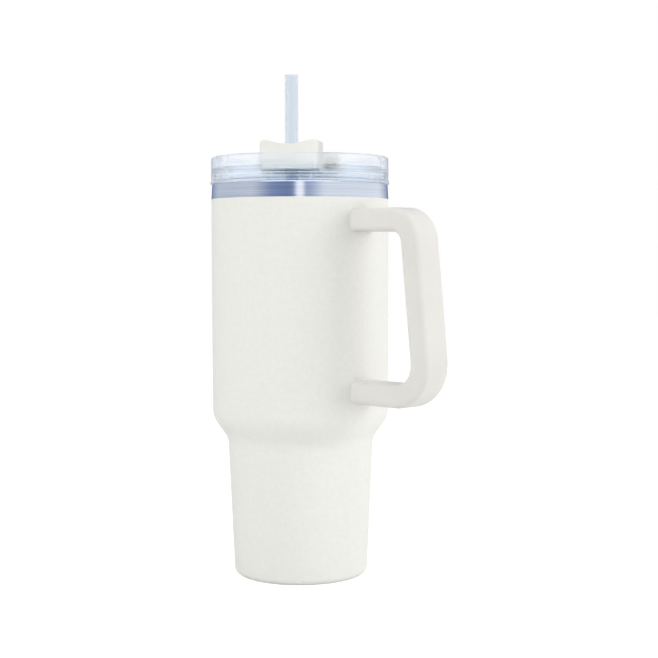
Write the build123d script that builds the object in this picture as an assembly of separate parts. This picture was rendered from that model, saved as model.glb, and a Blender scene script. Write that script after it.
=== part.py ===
from build123d import *
import math
import os

# Insulated steel tumbler with a clear straw lid and a side handle.
# Millimetres, +Z up. The origin is on the tumbler's axis, in the plane that it stands on.
# The handle lies along +X. The lid is turned by LID_TURN about the axis.

# ---- tumbler body
BODY_R = 50.0            # outer radius of the upper body
WAIST_R = 41.3           # outer radius just under the shoulder
FOOT_R = 37.9            # outer radius at the foot, before its rounding
SHOULDER_TOP = 89.7      # height of the shoulder's upper corner
SHOULDER_DROP = 12.2     # height of the sloping shoulder
SHOULDER_ROUND = 15.0    # rounding at the shoulder's upper corner
WAIST_ROUND = 12.0       # rounding at the shoulder's lower corner
FOOT_ROUND = 3.5         # rounding at the foot
FOOT_RING = 2.5          # width of the flat ring that the tumbler stands on
COAT_TOP = 212.4         # height at which the powder coating ends
BAND = 8.5               # height of the bare steel band above the coating
SHELL_WALL = 0.8         # outer shell
LINER_WALL = 0.7         # inner liner
VACUUM_GAP = 3.0         # radial gap between shell and liner
LINER_FLOOR = 9.0        # underside of the liner's floor
LINER_ROUND = 7.0        # rounding at the liner's floor

# ---- tumbler base
BASE_PLATE_Z = 4.0       # underside of the welded base plate
PLATE_WALL = 1.0         # base plate and base cover
DIMPLE_R = 5.0           # evacuation dimple in the base plate
DIMPLE_DEPTH = 1.2
HOLE_R = 1.0             # evacuation hole in the dimple
GETTER_R = 4.0
GETTER_HEIGHT = 1.6
GETTER_OFFSET = 16.0     # getter's distance from the axis
CLIP_WALL = 0.5

# ---- handle
HANDLE_WIDTH = 19.4      # across the handle, along Y
HANDLE_THICK = 12.6      # through the handle
HANDLE_ROUND = 3.6       # rounding of the handle's long edges
UPPER_ARM_Z = 200.0      # centre line of the upper arm
LOWER_ARM_Z = 106.7      # centre line of the lower arm
UPPER_REACH = 38.7       # centre line of the upright beyond the body, at the upper arm
LOWER_REACH = 48.8       # the same at the lower arm
UPPER_CORNER = 13.0      # centre line radius of the handle's upper corner
LOWER_CORNER = 17.5      # and of its lower corner
GRIP_WIDTH = 11.0        # soft insert on the finger side
GRIP_DEPTH = 1.6
BRACKET_LENGTH = 17.0
BRACKET_WIDTH = 9.0
BRACKET_THICK = 5.0
SCREW_R = 1.9
SCREW_HEAD_R = 3.4
SCREW_HEAD = 1.8
SCREW_PLACE = 0.6        # screw's place along the bracket, as a share of its length
PLUG_THICK = 1.2

# ---- lid
LID_TURN = -53.0         # direction of the straw block about the axis, in degrees
LID_HEIGHT = 15.0        # clear rim above the steel lip
LID_OVERHANG = 0.4       # how far the lid's flange stands out past the body
FLANGE_HEIGHT = 1.3
DISH_WALL = 3.7          # clear wall at the rim
DISH_SLOPE = 3.0         # how much further in the dish is at its floor
DISH_FLOOR = 6.2         # dish floor's top above the steel lip
FLOOR_THICK = 2.4
PLUG_WALL = 2.6          # lid's plug inside the mouth
PLUG_DEPTH = 12.0
PLUG_CLEAR = 0.8         # radial gap between plug and liner
POCKET_HEIGHT = 8.5      # ribbed hollow inside the clear skirt
POCKET_SKIN = 1.5        # clear wall outside that hollow
RIDGES = 5
RIDGE_DEPTH = 0.35
GASKET_HEIGHT = 4.0
GASKET_DEPTH = 1.4       # depth of the gasket's groove
SLOT_WIDTH = 24.0        # straw opening in the dish floor, across the straw
SLOT_DEPTH = 10.6        # the same opening, towards the axis
SLOT_LIP = 1.5           # wall round the opening's underside
SLOT_SKIRT = 4.0         # depth of that wall below the floor
SIP_WIDTH = 16.0         # sip opening opposite the straw
SIP_DEPTH = 7.0
POST_R = 5.0             # pivot post
POST_HEIGHT = 6.9

# ---- turning cover
HUB_R = 22.2
HUB_UNDERCUT = 2.2       # sloped underside of the hub
HUB_ROUND = 2.2
BLOCK_WIDTH = 32.2
BLOCK_FRONT = 41.3       # block's front face, from the axis
BLOCK_HEIGHT = 16.1      # top of the block above the dish floor
BLOCK_ROUND = 4.0        # rounding of the block's upright edges
BLOCK_EDGE = 1.1         # rounding of the block's top edges
DIP_WIDTH = 23.0         # shallow channel along the block's top
DIP_DEPTH = 2.2
WING_R = 40.0            # thin closing wing on the far side
WING_THICK = 2.0
WING_ANGLE = 70.0        # how wide the wing is, in degrees
MOVING_GAP = 0.3         # gap between pieces that turn or slide on each other
SEAL_THICK = 1.0
SEAL_R = 17.0
SEAL_WIDTH = 2.2
PIVOT_HEAD_R = 6.6
PIVOT_HEAD = 1.2
PIVOT_PIN_R = 2.2
PIVOT_PIN = 5.5          # length of the pin in the post
WASHER_THICK = 0.6
HUB_ROOF = 1.4           # hub's roof over the pivot post

# ---- straw
STRAW_R = 3.6
STRAW_WALL = 0.7
STRAW_PLACE = 28.0       # straw's distance from the axis
STRAW_ABOVE = 35.8       # straw above the block
STRAW_LIFT = 5.0         # straw's lower end above the liner's floor
GROMMET_WALL = 2.2
GROMMET_HEIGHT = 3.6

# ---- places worked out from those sizes
LIP_Z = COAT_TOP + BAND
LINER_R = BODY_R - SHELL_WALL - VACUUM_GAP
MOUTH_R = LINER_R - LINER_WALL
SHOULDER_LOW = SHOULDER_TOP - SHOULDER_DROP
FLOOR_Z = LIP_Z + DISH_FLOOR
RIM_Z = LIP_Z + LID_HEIGHT
BLOCK_Z = FLOOR_Z + BLOCK_HEIGHT
ROOF_Z = FLOOR_Z + POST_HEIGHT + MOVING_GAP
WASHER_Z = ROOF_Z + HUB_ROOF
HUB_Z = WASHER_Z + WASHER_THICK + PIVOT_HEAD
STRAW_BASE = LINER_FLOOR + LINER_WALL + STRAW_LIFT
STRAW_TOP = BLOCK_Z + STRAW_ABOVE
JOIN = 1.0               # how far a cutting tool runs past what it cuts


def turned(outline):
    """A solid of revolution about Z from a closed outline of (radius, height) points."""
    face = make_face(Polyline(*[(r, 0, z) for r, z in outline], close=True))
    return revolve(face, Axis.Z)


def tube(outer, inner, bottom, top):
    """A plain ring between two heights."""
    return turned([(inner, bottom), (outer, bottom), (outer, top), (inner, top)])


def rod(radius, bottom, top, x=0.0, y=0.0):
    """An upright cylinder between two heights."""
    bar = Cylinder(radius, top - bottom, align=(Align.CENTER, Align.CENTER, Align.MIN))
    return Pos(x, y, bottom) * bar


def slab(x0, x1, y0, y1, z0, z1):
    """A box between two corners."""
    box = Box(x1 - x0, y1 - y0, z1 - z0, align=(Align.MIN, Align.MIN, Align.MIN))
    return Pos(x0, y0, z0) * box


def vessel(inset, floor, top, foot_round):
    """The tumbler's full inside volume, inset from its outer skin, as one solid."""
    corners = [
        (0, floor), (FOOT_R - inset, floor), (WAIST_R - inset, SHOULDER_LOW),
        (BODY_R - inset, SHOULDER_TOP), (BODY_R - inset, top), (0, top),
    ]
    points = [Vector(r, 0, z) for r, z in corners]
    radii = [foot_round, WAIST_ROUND + inset, SHOULDER_ROUND - inset, 0]
    edge = FilletPolyline(*points[:5], radius=radii[:3])
    close = Polyline(points[4], points[5], points[0])
    return revolve(make_face([*edge.edges(), *close.edges()]), Axis.Z)


def lid_place(piece):
    """Turn a piece of the lid from its own frame, where the straw lies on +X."""
    return Rot(0, 0, LID_TURN) * piece


# ---- tumbler body --------------------------------------------------------------------

def outer_shell():
    skin = vessel(0, 0, COAT_TOP, FOOT_ROUND)
    hollow = vessel(SHELL_WALL, SHELL_WALL, COAT_TOP + JOIN, FOOT_ROUND - SHELL_WALL)
    foot_inner = FOOT_R - FOOT_ROUND - FOOT_RING
    return skin - hollow - rod(foot_inner, -JOIN, SHELL_WALL + JOIN)


def inner_liner():
    inset = SHELL_WALL + VACUUM_GAP
    skin = vessel(inset, LINER_FLOOR, LIP_Z, LINER_ROUND)
    hollow = vessel(inset + LINER_WALL, LINER_FLOOR + LINER_WALL, LIP_Z + JOIN, LINER_ROUND - LINER_WALL)
    lip_round = SHELL_WALL / 2
    lip = turned([
        (MOUTH_R, LIP_Z - SHELL_WALL), (BODY_R - SHELL_WALL, LIP_Z - SHELL_WALL),
        (BODY_R - SHELL_WALL, COAT_TOP), (BODY_R, COAT_TOP), (BODY_R - lip_round, LIP_Z - lip_round),
        (BODY_R - 2 * lip_round, LIP_Z), (MOUTH_R, LIP_Z),
    ])
    return (skin - hollow) + lip


def base_radius(height):
    """Inner radius of the outer shell at a height below the waist."""
    share = (height - SHELL_WALL) / (SHOULDER_LOW - SHELL_WALL)
    return FOOT_R + (WAIST_R - FOOT_R) * share - SHELL_WALL


def base_plate():
    top = BASE_PLATE_Z + PLATE_WALL
    plate = turned([
        (0, BASE_PLATE_Z), (base_radius(BASE_PLATE_Z), BASE_PLATE_Z), (base_radius(top), top),
        (DIMPLE_R + DIMPLE_DEPTH, top), (DIMPLE_R, top + DIMPLE_DEPTH), (0, top + DIMPLE_DEPTH),
    ])
    dimple = rod(DIMPLE_R - PLATE_WALL, BASE_PLATE_Z - JOIN, BASE_PLATE_Z + DIMPLE_DEPTH)
    return plate - dimple - rod(HOLE_R, BASE_PLATE_Z, top + DIMPLE_DEPTH + JOIN)


def vacuum_seal():
    """Solder bead in the dimple, with a short plug in the evacuation hole."""
    bead_z = BASE_PLATE_Z + DIMPLE_DEPTH
    bead = rod(DIMPLE_R - 2 * PLATE_WALL, bead_z - 0.8 * DIMPLE_DEPTH, bead_z)
    return bead + rod(HOLE_R, bead_z, bead_z + PLATE_WALL / 2)


def base_cover():
    """Pressed steel disc that closes the underside, seated on the shell's turned-in foot."""
    seat = FOOT_R - FOOT_ROUND - FOOT_RING
    return turned([
        (0, 0), (seat, 0), (seat, SHELL_WALL), (seat + FOOT_RING, SHELL_WALL),
        (seat + FOOT_RING, SHELL_WALL + PLATE_WALL), (0, SHELL_WALL + PLATE_WALL),
    ])


def getter_pellet():
    z = BASE_PLATE_Z + PLATE_WALL
    return rod(GETTER_R, z, z + GETTER_HEIGHT, GETTER_OFFSET)


def getter_clip():
    """Thin steel cup over the getter, with two spot-welded feet."""
    z = BASE_PLATE_Z + PLATE_WALL
    foot = 2 * GETTER_R + 2.0
    cup = rod(GETTER_R + CLIP_WALL, z, z + GETTER_HEIGHT + CLIP_WALL, GETTER_OFFSET)
    feet = slab(GETTER_OFFSET - GETTER_R / 2, GETTER_OFFSET + GETTER_R / 2, -foot, foot, z, z + CLIP_WALL)
    window = rod(GETTER_R / 2, z, z + GETTER_HEIGHT + CLIP_WALL + JOIN, GETTER_OFFSET)
    return (cup + feet) - getter_pellet() - window


# ---- handle --------------------------------------------------------------------------

def handle_points():
    return [
        Vector(BODY_R - 3 * JOIN, 0, UPPER_ARM_Z), Vector(BODY_R + UPPER_REACH, 0, UPPER_ARM_Z),
        Vector(BODY_R + LOWER_REACH, 0, LOWER_ARM_Z), Vector(BODY_R - 3 * JOIN, 0, LOWER_ARM_Z),
    ]


def handle_sweep(width, thick, rounding):
    """A rounded bar along the handle's centre line."""
    path = FilletPolyline(*handle_points(), radius=[UPPER_CORNER, LOWER_CORNER])
    start = Plane(origin=path @ 0, x_dir=(0, 1, 0), z_dir=path % 0)
    return sweep(start * RectangleRounded(width, thick, rounding), path=path)


def bracket(z):
    """Steel tab welded to the shell, inside the end of a handle arm."""
    tab = slab(
        BODY_R - 2 * JOIN, BODY_R + BRACKET_LENGTH, -BRACKET_WIDTH / 2, BRACKET_WIDTH / 2,
        z - BRACKET_THICK / 2, z + BRACKET_THICK / 2,
    )
    hole = rod(SCREW_R, z - BRACKET_THICK, z + BRACKET_THICK, screw_x())
    return tab - rod(BODY_R, z - HANDLE_THICK, z + HANDLE_THICK) - hole


def screw_x():
    return BODY_R + SCREW_PLACE * BRACKET_LENGTH


def screw_bottom(z):
    """Height of the screw head's underside, in the arm centred on z."""
    return z - HANDLE_THICK / 2 + PLUG_THICK


def handle_screws():
    screws = []
    for z in (UPPER_ARM_Z, LOWER_ARM_Z):
        low = screw_bottom(z)
        shank = rod(SCREW_R, low + SCREW_HEAD, z + BRACKET_THICK / 2, screw_x())
        head = rod(SCREW_HEAD_R, low, low + SCREW_HEAD, screw_x())
        screws.append(shank + head - rod(SCREW_R / 2, low - JOIN, low + SCREW_HEAD / 2, screw_x()))
    return Compound(screws)


def handle_plugs():
    """Push-in caps over the two screw heads, flush with the arms' undersides."""
    plugs = []
    for z in (UPPER_ARM_Z, LOWER_ARM_Z):
        low = z - HANDLE_THICK / 2
        plugs.append(rod(SCREW_HEAD_R, low, low + PLUG_THICK, screw_x()))
    return Compound(plugs)


def handle_frame():
    bar = handle_sweep(HANDLE_WIDTH, HANDLE_THICK, HANDLE_ROUND)
    bar -= rod(BODY_R, LOWER_ARM_Z - HANDLE_THICK, UPPER_ARM_Z + HANDLE_THICK)
    for z in (UPPER_ARM_Z, LOWER_ARM_Z):
        bar -= slab(
            BODY_R - 3 * JOIN, BODY_R + BRACKET_LENGTH, -BRACKET_WIDTH / 2, BRACKET_WIDTH / 2,
            z - BRACKET_THICK / 2, z + BRACKET_THICK / 2,
        )
        bar -= rod(SCREW_R, z - HANDLE_THICK / 2, z, screw_x())
        bar -= rod(SCREW_HEAD_R, z - HANDLE_THICK, screw_bottom(z) + SCREW_HEAD, screw_x())
    return bar - handle_grip()


def handle_grip():
    """Soft insert let into the finger side of the upright."""
    top, bottom = handle_points()[1], handle_points()[2]
    along = (bottom - top).normalized()
    inward = Vector(along.Z, 0, -along.X)
    length = (bottom - top).length - 2 * max(UPPER_CORNER, LOWER_CORNER)
    middle = (top + bottom) * 0.5 + inward * (HANDLE_THICK / 2 - GRIP_DEPTH)
    place = Plane(origin=middle, x_dir=(0, 1, 0), z_dir=inward)
    return extrude(place * SlotOverall(length, GRIP_WIDTH, rotation=90), GRIP_DEPTH)


# ---- lid -----------------------------------------------------------------------------

def lid_gasket_bottom():
    return LIP_Z - PLUG_DEPTH / 2 - GASKET_HEIGHT / 2


def lid_body():
    plug_r = MOUTH_R - PLUG_CLEAR
    rim_in = BODY_R - DISH_WALL
    edge = 1.2
    shell = turned([
        (0, FLOOR_Z - FLOOR_THICK), (plug_r - PLUG_WALL, FLOOR_Z - FLOOR_THICK),
        (plug_r - PLUG_WALL, LIP_Z - PLUG_DEPTH), (plug_r, LIP_Z - PLUG_DEPTH), (plug_r, LIP_Z),
        (BODY_R + LID_OVERHANG, LIP_Z), (BODY_R + LID_OVERHANG, LIP_Z + FLANGE_HEIGHT),
        (BODY_R, LIP_Z + FLANGE_HEIGHT + LID_OVERHANG), (BODY_R, RIM_Z - edge),
        (BODY_R - edge / 3, RIM_Z - edge / 3), (BODY_R - edge, RIM_Z), (rim_in + edge / 2, RIM_Z),
        (rim_in, RIM_Z - edge / 2), (rim_in - DISH_SLOPE / 4, FLOOR_Z + DISH_SLOPE),
        (rim_in - DISH_SLOPE, FLOOR_Z), (0, FLOOR_Z),
    ])
    pitch = POCKET_HEIGHT / RIDGES
    skin_r = BODY_R - POCKET_SKIN
    ribs = [(skin_r, LIP_Z)]
    for i in range(RIDGES):
        ribs += [(skin_r - RIDGE_DEPTH, LIP_Z + (i + 0.5) * pitch), (skin_r, LIP_Z + (i + 1) * pitch)]
    pocket_in = MOUTH_R + LINER_WALL
    pocket = turned([(pocket_in, LIP_Z), *ribs, (pocket_in, LIP_Z + POCKET_HEIGHT)])
    groove_z = lid_gasket_bottom()
    groove = tube(plug_r + JOIN, plug_r - GASKET_DEPTH, groove_z, groove_z + GASKET_HEIGHT)
    low = FLOOR_Z - FLOOR_THICK
    outer_slot = SlotOverall(SLOT_WIDTH + 2 * SLOT_LIP, SLOT_DEPTH + 2 * SLOT_LIP, rotation=90)
    inner_slot = SlotOverall(SLOT_WIDTH, SLOT_DEPTH, rotation=90)
    sip_slot = SlotOverall(SIP_WIDTH, SIP_DEPTH, rotation=90)
    skirt = Pos(STRAW_PLACE, 0, low - SLOT_SKIRT) * extrude(outer_slot, SLOT_SKIRT)
    post = rod(POST_R, low, FLOOR_Z + POST_HEIGHT)
    lid = (shell - pocket - groove) + skirt + post
    slot_depth = SLOT_SKIRT + FLOOR_THICK + 2 * JOIN
    lid -= Pos(STRAW_PLACE, 0, low - SLOT_SKIRT - JOIN) * extrude(inner_slot, slot_depth)
    lid -= Pos(-STRAW_PLACE, 0, low - JOIN) * extrude(sip_slot, FLOOR_THICK + 2 * JOIN)
    lid -= rod(PIVOT_PIN_R, FLOOR_Z + POST_HEIGHT - PIVOT_PIN, FLOOR_Z + POST_HEIGHT + JOIN)
    return lid_place(lid)


def lid_gasket():
    """Silicone ring with two soft ribs, in the groove round the lid's plug."""
    seat = MOUTH_R - PLUG_CLEAR - GASKET_DEPTH
    z = lid_gasket_bottom()
    lip = MOUTH_R - MOVING_GAP
    body = MOUTH_R - PLUG_CLEAR
    step = GASKET_HEIGHT / 4
    return turned([
        (seat, z), (body, z), (lip, z + step), (body, z + 2 * step), (lip, z + 3 * step),
        (body, z + 4 * step), (seat, z + 4 * step),
    ])


# ---- turning cover -------------------------------------------------------------------

def rotating_cover():
    low = FLOOR_Z + MOVING_GAP
    hub = turned([
        (0, low), (HUB_R - HUB_UNDERCUT, low), (HUB_R, low + HUB_UNDERCUT),
        (HUB_R, HUB_Z - HUB_ROUND), (HUB_R - HUB_ROUND * 0.3, HUB_Z - HUB_ROUND * 0.3),
        (HUB_R - HUB_ROUND, HUB_Z), (0, HUB_Z),
    ])
    plan = Rectangle(BLOCK_FRONT, BLOCK_WIDTH, align=(Align.MIN, Align.CENTER)) & Circle(BLOCK_FRONT)
    block = extrude(Pos(0, 0, low) * plan, BLOCK_Z - low)
    corners = block.edges().filter_by(Axis.Z).sort_by(Axis.X)[-2:]
    block = fillet(corners, BLOCK_ROUND)
    dip_r = (DIP_WIDTH ** 2 / 4 + DIP_DEPTH ** 2) / (2 * DIP_DEPTH)
    dip = Rot(0, 90, 0) * Cylinder(dip_r, 4 * BLOCK_FRONT)
    dip = Pos(0, 0, BLOCK_Z - DIP_DEPTH + dip_r) * dip
    top_edges = block.faces().sort_by(Axis.Z)[-1].edges()
    block = fillet(top_edges.sort_by(Axis.X)[1:], BLOCK_EDGE) - dip
    back = STRAW_PLACE - STRAW_R - GROMMET_WALL - 2.0
    block -= slab(-JOIN, back, -BLOCK_WIDTH, BLOCK_WIDTH, HUB_Z, BLOCK_Z + JOIN)
    half = math.radians(WING_ANGLE / 2)
    reach = WING_R * 2
    wedge = make_face(Polyline(
        (0, 0, low), (-reach * math.cos(half), reach * math.sin(half), low),
        (-reach * math.cos(half), -reach * math.sin(half), low), close=True,
    ))
    wing = rod(WING_R, low, low + WING_THICK) & extrude(wedge, WING_THICK)
    cover = hub + block + wing
    cover -= rod(POST_R + MOVING_GAP, low - JOIN, ROOF_Z)
    cover -= rod(PIVOT_PIN_R + MOVING_GAP, ROOF_Z - JOIN, HUB_Z)
    cover -= rod(PIVOT_HEAD_R + MOVING_GAP, WASHER_Z, HUB_Z + JOIN)
    cover -= rod(STRAW_R + MOVING_GAP, low - JOIN, BLOCK_Z + JOIN, STRAW_PLACE)
    cover -= rod(STRAW_R + MOVING_GAP + GROMMET_WALL, low - JOIN, low + GROMMET_HEIGHT, STRAW_PLACE)
    cover -= tube(SEAL_R, SEAL_R - SEAL_WIDTH, low - JOIN, low + SEAL_THICK)
    return lid_place(cover)


def cover_seal():
    low = FLOOR_Z + MOVING_GAP
    return lid_place(tube(SEAL_R, SEAL_R - SEAL_WIDTH, low, low + SEAL_THICK))


def straw_grommet():
    low = FLOOR_Z + MOVING_GAP
    ring = tube(STRAW_R + MOVING_GAP + GROMMET_WALL, STRAW_R + MOVING_GAP, low, low + GROMMET_HEIGHT)
    return lid_place(Pos(STRAW_PLACE, 0, 0) * ring)


def pivot_washer():
    return tube(PIVOT_HEAD_R, PIVOT_PIN_R, WASHER_Z, WASHER_Z + WASHER_THICK)


def pivot_pin():
    """Round-headed pin, fixed in the lid's post, that holds the cover down."""
    seat = WASHER_Z + WASHER_THICK
    head = rod(PIVOT_HEAD_R, seat, HUB_Z)
    return head + rod(PIVOT_PIN_R, FLOOR_Z + POST_HEIGHT - PIVOT_PIN, seat)


# ---- straw ---------------------------------------------------------------------------

def straw():
    pipe = tube(STRAW_R, STRAW_R - STRAW_WALL, STRAW_BASE, STRAW_TOP)
    return lid_place(Pos(STRAW_PLACE, 0, 0) * pipe)


PIECES = {
    "outer_shell": outer_shell, "inner_liner": inner_liner, "base_plate": base_plate,
    "vacuum_seal": vacuum_seal, "base_cover": base_cover, "getter_pellet": getter_pellet,
    "getter_clip": getter_clip, "handle_bracket_upper": lambda: bracket(UPPER_ARM_Z),
    "handle_bracket_lower": lambda: bracket(LOWER_ARM_Z), "handle_frame": handle_frame,
    "handle_grip": handle_grip, "handle_screws": handle_screws, "handle_plugs": handle_plugs,
    "lid_body": lid_body, "lid_gasket": lid_gasket, "rotating_cover": rotating_cover,
    "cover_seal": cover_seal, "straw_grommet": straw_grommet, "pivot_washer": pivot_washer,
    "pivot_pin": pivot_pin, "straw": straw,
}

os.makedirs("parts", exist_ok=True)
for name, make in PIECES.items():
    export_step(make(), "parts/" + name + ".step")
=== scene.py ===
"""Insulated tumbler: powder-coated steel, clear lid with a turning cover, straw and side handle.

Metres, +Z up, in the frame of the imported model: the origin is on the tumbler's axis, at its foot.
"""

import math

import bmesh
import bpy
from mathutils import Matrix, Vector


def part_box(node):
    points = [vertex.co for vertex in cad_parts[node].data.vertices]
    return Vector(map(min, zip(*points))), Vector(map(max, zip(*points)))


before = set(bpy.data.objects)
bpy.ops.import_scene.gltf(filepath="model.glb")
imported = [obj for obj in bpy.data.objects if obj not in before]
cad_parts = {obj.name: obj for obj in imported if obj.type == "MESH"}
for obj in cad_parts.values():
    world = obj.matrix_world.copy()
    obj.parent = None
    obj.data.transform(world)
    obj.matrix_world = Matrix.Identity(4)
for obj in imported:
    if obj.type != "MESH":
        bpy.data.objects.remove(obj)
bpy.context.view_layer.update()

MM = 0.001
FLOOR_RADIUS = 3.0           # metres
BODY_MIDDLE = (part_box("outer_shell")[0].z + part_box("outer_shell")[1].z) / 2

# ---- camera, in metres where no other unit is given
CAMERA_AZIMUTH = 45.0        # degrees round from the front, towards the handle
CAMERA_DISTANCE = 0.7803     # from the tumbler's axis
CAMERA_HEIGHT = 0.1844
CAMERA_OFFSET = 0.0163       # camera's place to the right of the axis
CAMERA_PITCH = 3.33          # degrees down
CAMERA_ROLL = -0.10          # degrees
CAMERA_LENS = 75.06          # mm, on a 36 mm sensor

# lamps: name, place as right, near and up in metres, size in metres, power in watts
LAMPS = [
    ("key", (-0.75, 0.9, 0.95), 0.45, 7.1),
    ("fill", (1.15, 0.35, 0.35), 0.9, 7.0),
    ("top", (0.0, -0.3, 1.3), 0.9, 3.5),
]
WORLD_SOFT = 0.55            # strength of the world's even light
WORLD_WHITE = 1.0            # strength of the white behind everything, directly or through clear plastic
WORLD_MIRRORED = 1.6         # strength of the studio walls in reflections
CARD_GLOW = 0.52             # added to the card's own light, directly or through clear plastic

# what the steel mirrors, by degrees to the right of the camera
STUDIO_WALLS = [
    (-165, "56688a"), (-130, "b9c0c8"), (-62, "c4c8cd"), (-36, "7e8aa6"), (-6, "64759a"),
    (-3, "ffffff"), (5, "ffffff"), (8, "7f90b0"), (32, "dde0e2"), (125, "e2e4e6"), (165, "56688a"),
]


# ---- small helpers --------------------------------------------------------------------

def colour(text):
    """An sRGB hex colour as linear RGBA."""
    parts = [int(text[i:i + 2], 16) / 255 for i in (0, 2, 4)]
    linear = [c / 12.92 if c <= 0.04045 else ((c + 0.055) / 1.055) ** 2.4 for c in parts]
    return (*linear, 1.0)


def node(tree, kind, links=None, **settings):
    """Add a node. Keys name its properties or input sockets; links joins inputs to outputs."""
    made = tree.nodes.new(kind)
    for key, value in settings.items():
        if hasattr(made, key):
            setattr(made, key, value)
        else:
            made.inputs[key.replace("_", " ")].default_value = value
    for key, output in (links or {}).items():
        tree.links.new(output, made.inputs[key])
    return made


def material(name):
    """A new material with an empty tree and its output node."""
    made = bpy.data.materials.new(name)
    made.use_nodes = True
    made.node_tree.nodes.clear()
    return made, made.node_tree, node(made.node_tree, "ShaderNodeOutputMaterial")


def ramp(tree, factor, low, high, dark, light):
    """A two-stop colour ramp over a factor."""
    made = node(tree, "ShaderNodeValToRGB", links={"Fac": factor})
    stops = made.color_ramp.elements
    stops[0].position, stops[0].color = low, dark
    stops[1].position, stops[1].color = high, light
    return made.outputs["Color"]


# ---- materials ------------------------------------------------------------------------

def powder_coat():
    """Polyester powder coat: a baked-on matt skin with a fine pebbled grain."""
    made, tree, out = material("powder_coat_warm_white")
    place = node(tree, "ShaderNodeTexCoord").outputs["Object"]
    # real grain is about 0.3 mm; drawn at about 0.6 mm, with 2.4 mm clouds, so that it shows
    grain = node(tree, "ShaderNodeTexNoise", links={"Vector": place}, Scale=1600.0, Detail=3.0, Roughness=0.6)
    cloud = node(tree, "ShaderNodeTexNoise", links={"Vector": place}, Scale=420.0, Detail=3.0, Roughness=0.6)
    mottle = node(tree, "ShaderNodeMath", operation="ADD", links={
        0: grain.outputs["Fac"], 1: cloud.outputs["Fac"]})
    half = node(tree, "ShaderNodeMath", operation="MULTIPLY", links={0: mottle.outputs[0]})
    half.inputs[1].default_value = 0.5
    tint = ramp(tree, half.outputs[0], 0.35, 0.65, colour("e6e6e0"), colour("ecece7"))
    rough = node(tree, "ShaderNodeMapRange", links={"Value": grain.outputs["Fac"]}, To_Min=0.55, To_Max=0.72)
    bump = node(tree, "ShaderNodeBump", Strength=0.22, Distance=0.06 * MM, links={
        "Height": grain.outputs["Fac"]})
    skin = node(tree, "ShaderNodeBsdfPrincipled", IOR=1.5, links={
        "Base Color": tint, "Roughness": rough.outputs[0], "Normal": bump.outputs["Normal"]})
    tree.links.new(skin.outputs[0], out.inputs["Surface"])
    return made


def brushed_steel():
    """18/8 stainless steel, brushed round the lip on a lathe: fine rings that stretch highlights."""
    made, tree, out = material("brushed_stainless_steel")
    place = node(tree, "ShaderNodeTexCoord").outputs["Object"]
    # brushing lines about 0.25 mm apart, run round the axis by squeezing the pattern in X and Y
    flat = node(tree, "ShaderNodeMapping", links={"Vector": place})
    flat.inputs["Scale"].default_value = (12.0, 12.0, 4000.0)
    lines = node(tree, "ShaderNodeTexNoise", links={"Vector": flat.outputs[0]}, Scale=1.0, Detail=3.0)
    tint = ramp(tree, lines.outputs["Fac"], 0.3, 0.7, colour("b4bac6"), colour("cdd2dc"))
    rough = node(tree, "ShaderNodeMapRange", links={"Value": lines.outputs["Fac"]}, To_Min=0.12, To_Max=0.2)
    bump = node(tree, "ShaderNodeBump", Strength=0.12, Distance=0.03 * MM, links={
        "Height": lines.outputs["Fac"]})
    skin = node(tree, "ShaderNodeBsdfPrincipled", Metallic=1.0, links={
        "Base Color": tint, "Roughness": rough.outputs[0], "Normal": bump.outputs["Normal"]})
    tree.links.new(skin.outputs[0], out.inputs["Surface"])
    return made


def satin_solid(name, dark, light, rough_low, rough_high, grit):
    """An opaque satin skin with grain of about grit mm, for the plastics, rubbers and small metal lumps."""
    made, tree, out = material(name)
    place = node(tree, "ShaderNodeTexCoord").outputs["Object"]
    grain = node(tree, "ShaderNodeTexNoise", links={"Vector": place}, Scale=1.0 / (grit * MM), Detail=3.0)
    cloud = node(tree, "ShaderNodeTexNoise", links={"Vector": place}, Scale=60.0, Detail=3.0)
    tint = ramp(tree, cloud.outputs["Fac"], 0.35, 0.65, colour(dark), colour(light))
    rough = node(tree, "ShaderNodeMapRange", To_Min=rough_low, To_Max=rough_high, links={
        "Value": grain.outputs["Fac"]})
    bump = node(tree, "ShaderNodeBump", Strength=0.12, Distance=0.05 * MM, links={
        "Height": grain.outputs["Fac"]})
    skin = node(tree, "ShaderNodeBsdfPrincipled", IOR=1.49, links={
        "Base Color": tint, "Roughness": rough.outputs[0], "Normal": bump.outputs["Normal"]})
    tree.links.new(skin.outputs[0], out.inputs["Surface"])
    return made


def clear_plastic(name, tint, body):
    """Clear copolyester, polished in the mould: faintly blue, with bright edges and flow ripples.

    Light bends little through walls this thin, so the IOR is set below the plastic's own (about
    1.55), part of the skin is plainly see-through, and a coat keeps the gloss.
    """
    made, tree, out = material(name)
    place = node(tree, "ShaderNodeTexCoord").outputs["Object"]
    flow = node(tree, "ShaderNodeTexNoise", links={"Vector": place}, Scale=70.0, Detail=1.0)
    rough = node(tree, "ShaderNodeMapRange", links={"Value": flow.outputs["Fac"]}, To_Min=0.01, To_Max=0.05)
    bump = node(tree, "ShaderNodeBump", links={"Height": flow.outputs["Fac"]})
    bump.inputs["Strength"].default_value = 0.05
    bump.inputs["Distance"].default_value = 0.2 * MM
    skin = node(tree, "ShaderNodeBsdfPrincipled", IOR=1.1, Base_Color=colour(tint), links={
        "Roughness": rough.outputs[0], "Normal": bump.outputs["Normal"]})
    skin.inputs["Transmission Weight"].default_value = 1.0
    skin.inputs["Coat Weight"].default_value = 0.5
    skin.inputs["Coat IOR"].default_value = 1.45
    skin.inputs["Alpha"].default_value = body
    tree.links.new(skin.outputs[0], out.inputs["Surface"])
    return made


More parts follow.
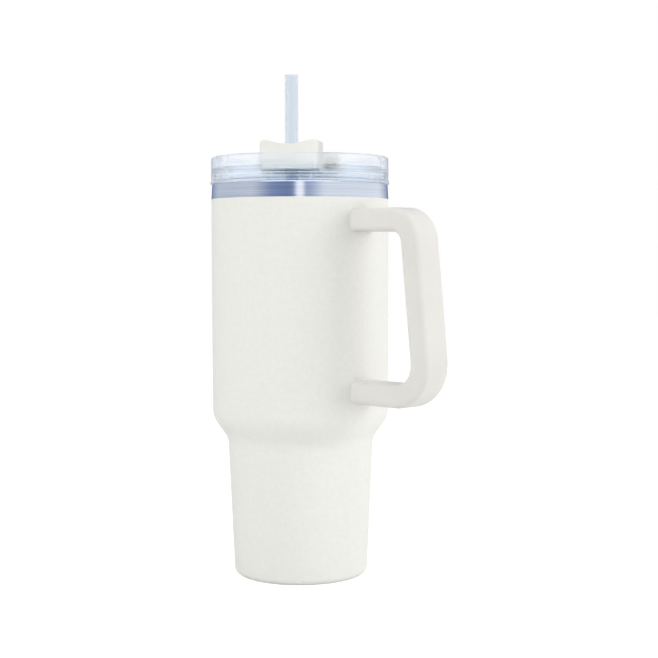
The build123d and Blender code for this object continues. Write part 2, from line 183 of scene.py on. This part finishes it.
def silicone():
    """Food-grade silicone rubber: milky, soft and a little waxy."""
    made = satin_solid("translucent_silicone", "dfe3e6", "eceff1", 0.4, 0.5, 0.4)
    skin = next(n for n in made.node_tree.nodes if n.type == "BSDF_PRINCIPLED")
    skin.inputs["Subsurface Weight"].default_value = 0.2
    skin.inputs["Subsurface Scale"].default_value = MM
    return made


def backdrop_white():
    """Plain white card. It looks white to the camera and through clear plastic, and keeps its shadow."""
    made, tree, out = material("white_card")
    path = node(tree, "ShaderNodeLightPath")
    seen = node(tree, "ShaderNodeMath", operation="MAXIMUM", links={
        0: path.outputs["Is Camera Ray"], 1: path.outputs["Is Transmission Ray"]})
    card = node(tree, "ShaderNodeBsdfDiffuse", Color=colour("f4f4f4"))
    glow = node(tree, "ShaderNodeEmission", Color=colour("ffffff"), Strength=CARD_GLOW)
    both = node(tree, "ShaderNodeAddShader", links={0: card.outputs[0], 1: glow.outputs[0]})
    mix = node(tree, "ShaderNodeMixShader", links={
        "Fac": seen.outputs[0], 1: card.outputs[0], 2: both.outputs[0]})
    tree.links.new(mix.outputs[0], out.inputs["Surface"])
    return made


def dress(name, finish):
    """Give a CAD node its material."""
    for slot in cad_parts[name].material_slots:
        slot.material = finish


def dress_all():
    """Give every CAD node the material of the real piece."""
    coat = powder_coat()
    steel = brushed_steel()
    # injection-moulded polypropylene, with a fine spark-eroded grain
    cream = satin_solid("cream_polypropylene", "e6e4dd", "e9e7e0", 0.32, 0.42, 0.5)
    handle = satin_solid("handle_polypropylene", "dddbd5", "e0ded9", 0.4, 0.5, 0.5)
    # thermoplastic elastomer, softer and more matt than the handle
    grip = satin_solid("grip_elastomer", "dddbd4", "e4e2dc", 0.6, 0.72, 0.35)
    # hidden pieces: the drop of solder that shuts the vacuum, and the pressed powder that keeps it
    solder = satin_solid("tin_solder", "9a9da1", "b0b3b7", 0.3, 0.4, 0.6)
    sinter = satin_solid("sintered_getter", "3a3a3e", "4a4a4e", 0.7, 0.8, 0.2)
    clear = clear_plastic("clear_copolyester", "eef4fb", 0.6)
    tinted = clear_plastic("straw_copolyester", "e2e9f0", 0.8)
    rubber = silicone()
    finishes = {
        coat: ["outer_shell"],
        steel: ["inner_liner", "base_plate", "base_cover", "getter_clip", "handle_bracket_upper",
                "handle_bracket_lower", "handle_screws", "pivot_washer"],
        handle: ["handle_frame", "handle_plugs"],
        grip: ["handle_grip"],
        cream: ["rotating_cover", "pivot_pin"],
        clear: ["lid_body"],
        tinted: ["straw"],
        rubber: ["lid_gasket", "cover_seal", "straw_grommet"],
        solder: ["vacuum_seal"],
        sinter: ["getter_pellet"],
    }
    for finish, names in finishes.items():
        for name in names:
            dress(name, finish)


# ---- stage ----------------------------------------------------------------------------

def view_axes():
    """Unit vectors of the view on the ground: towards the camera, and to its right."""
    turn = math.radians(CAMERA_AZIMUTH)
    return (math.sin(turn), -math.cos(turn)), (math.cos(turn), math.sin(turn))


def in_view(right, near, height):
    """A point given by its places to the right, towards the camera and up."""
    to_camera, to_right = view_axes()
    return (to_right[0] * right + to_camera[0] * near, to_right[1] * right + to_camera[1] * near, height)


def camera():
    """The camera, slightly to the right of the axis and looking a little down."""
    data = bpy.data.cameras.new("camera")
    data.lens = CAMERA_LENS
    data.sensor_width = 36.0
    made = bpy.data.objects.new("camera", data)
    bpy.context.scene.collection.objects.link(made)
    place = Matrix.Translation(in_view(CAMERA_OFFSET, CAMERA_DISTANCE, CAMERA_HEIGHT))
    spin = Matrix.Rotation(math.radians(CAMERA_AZIMUTH), 4, "Z")
    lean = Matrix.Rotation(math.radians(90 - CAMERA_PITCH), 4, "X")
    roll = Matrix.Rotation(math.radians(CAMERA_ROLL), 4, "Z")
    made.matrix_world = place @ spin @ lean @ roll
    bpy.context.scene.camera = made


def lamp(name, place, size, power):
    """A soft square lamp aimed at the tumbler's middle. Metal mirrors the studio walls, not the lamps."""
    data = bpy.data.lights.new(name, "AREA")
    data.size = size
    data.energy = power
    made = bpy.data.objects.new(name, data)
    bpy.context.scene.collection.objects.link(made)
    made.location = in_view(*place)
    made.visible_glossy = False
    aim = Vector((0, 0, BODY_MIDDLE)) - made.location
    made.rotation_euler = aim.to_track_quat("-Z", "Y").to_euler()


def lights():
    """Three soft lamps and a pale world."""
    for name, place, size, power in LAMPS:
        lamp(name, place, size, power)
    world = bpy.data.worlds.new("studio")
    bpy.context.scene.world = world
    world.use_nodes = True
    tree = world.node_tree
    tree.nodes.clear()
    path = node(tree, "ShaderNodeLightPath")
    soft = node(tree, "ShaderNodeBackground", Color=colour("ffffff"), Strength=WORLD_SOFT)
    white = node(tree, "ShaderNodeBackground", Color=colour("ffffff"), Strength=WORLD_WHITE)
    studio = node(tree, "ShaderNodeBackground", Strength=WORLD_MIRRORED, links={
        "Color": studio_walls(tree)})
    seen = node(tree, "ShaderNodeMath", operation="MAXIMUM", links={
        0: path.outputs["Is Camera Ray"], 1: path.outputs["Is Transmission Ray"]})
    gloss = node(tree, "ShaderNodeMixShader", links={
        "Fac": path.outputs["Is Glossy Ray"], 1: soft.outputs[0], 2: studio.outputs[0]})
    mix = node(tree, "ShaderNodeMixShader", links={
        "Fac": seen.outputs[0], 1: gloss.outputs[0], 2: white.outputs[0]})
    out = node(tree, "ShaderNodeOutputWorld")
    tree.links.new(mix.outputs[0], out.inputs["Surface"])


def studio_walls(tree):
    """What metal mirrors: a white room with a dark blue-grey gap to the left of a bright strip."""
    place = node(tree, "ShaderNodeTexCoord").outputs["Generated"]
    turned = node(tree, "ShaderNodeVectorRotate", rotation_type="Z_AXIS", links={"Vector": place})
    turned.inputs["Angle"].default_value = -math.radians(CAMERA_AZIMUTH)
    axes = node(tree, "ShaderNodeSeparateXYZ", links={"Vector": turned.outputs[0]})
    away = node(tree, "ShaderNodeMath", operation="MULTIPLY", links={0: axes.outputs["Y"]})
    away.inputs[1].default_value = -1.0
    angle = node(tree, "ShaderNodeMath", operation="ARCTAN2", links={
        0: axes.outputs["X"], 1: away.outputs[0]})
    share = node(tree, "ShaderNodeMapRange", From_Min=-math.pi, From_Max=math.pi, links={
        "Value": angle.outputs[0]})
    made = node(tree, "ShaderNodeValToRGB", links={"Fac": share.outputs[0]})
    stops = made.color_ramp.elements
    stops[0].position, stops[0].color = 0.0, colour(STUDIO_WALLS[0][1])
    stops[1].position, stops[1].color = 1.0, colour(STUDIO_WALLS[0][1])
    for degrees, tint in STUDIO_WALLS:
        stop = stops.new(0.5 + degrees / 360)
        stop.color = colour(tint)
    return made.outputs["Color"]


def floor():
    """A wide round floor of white card."""
    mesh = bpy.data.meshes.new("floor")
    grid = bmesh.new()
    bmesh.ops.create_circle(grid, cap_ends=True, segments=96, radius=FLOOR_RADIUS)
    grid.to_mesh(mesh)
    grid.free()
    made = bpy.data.objects.new("floor", mesh)
    bpy.context.scene.collection.objects.link(made)
    mesh.materials.append(backdrop_white())


bpy.context.scene.view_settings.view_transform = "Standard"
camera()
lights()
floor()
dress_all()
